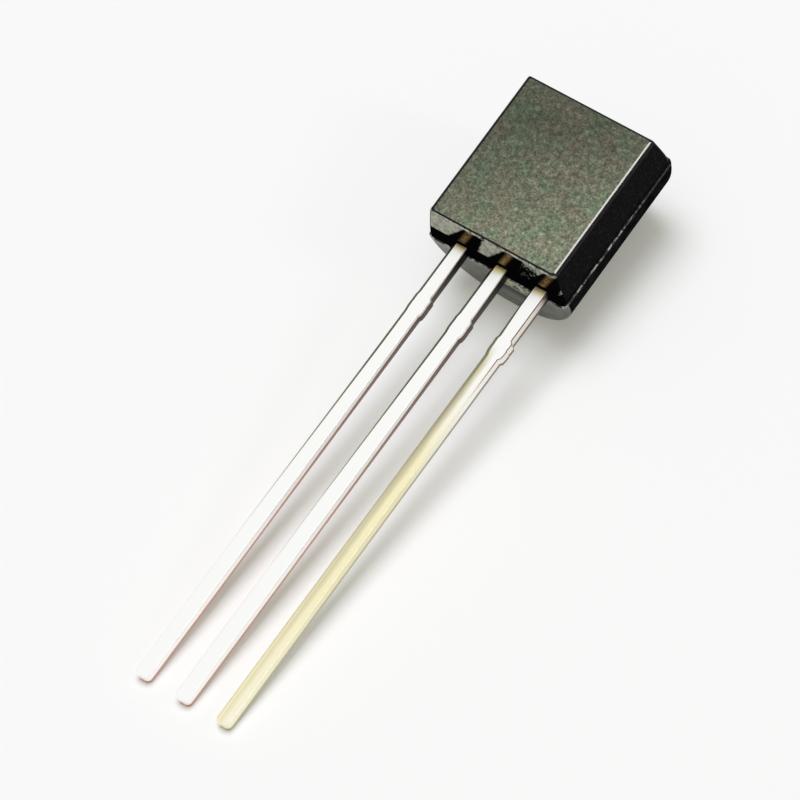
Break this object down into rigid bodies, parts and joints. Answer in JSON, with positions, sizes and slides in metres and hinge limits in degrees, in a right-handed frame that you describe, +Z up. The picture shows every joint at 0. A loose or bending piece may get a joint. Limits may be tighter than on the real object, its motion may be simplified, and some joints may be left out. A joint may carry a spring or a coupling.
{
  "type": "three-lead plastic transistor",
  "caption": "Through-hole transistor in a small black moulded case with a flat front, a half-round back and a row of straight flat leads.",
  "frame": {"origin": "middle of the footprint, on the surface that the lying transistor rests on", "axes": "+Z up, close to the outward normal of the flat front; +Y from the lead tips towards the top of the case; +X to the right when the flat faces the viewer with the leads pointing down"},
  "size_m": [0.0044, 0.0188, 0.0041],
  "materials": {
    "case": "black moulded epoxy, matt on the flat and glossier at the sides and the lead end",
    "lead": "bright tin plate on a stamped lead frame",
    "die": "polished silicon",
    "die_attach": "solder layer",
    "wire": "gold bond wire"
  },
  "bodies": {
    "root": {"case": "case", "emitter_lead": "lead", "base_lead": "lead", "collector_lead": "lead", "die": "die", "die_attach": "die_attach", "emitter_wire": "wire", "base_wire": "wire"}
  },
  "joints": []
}
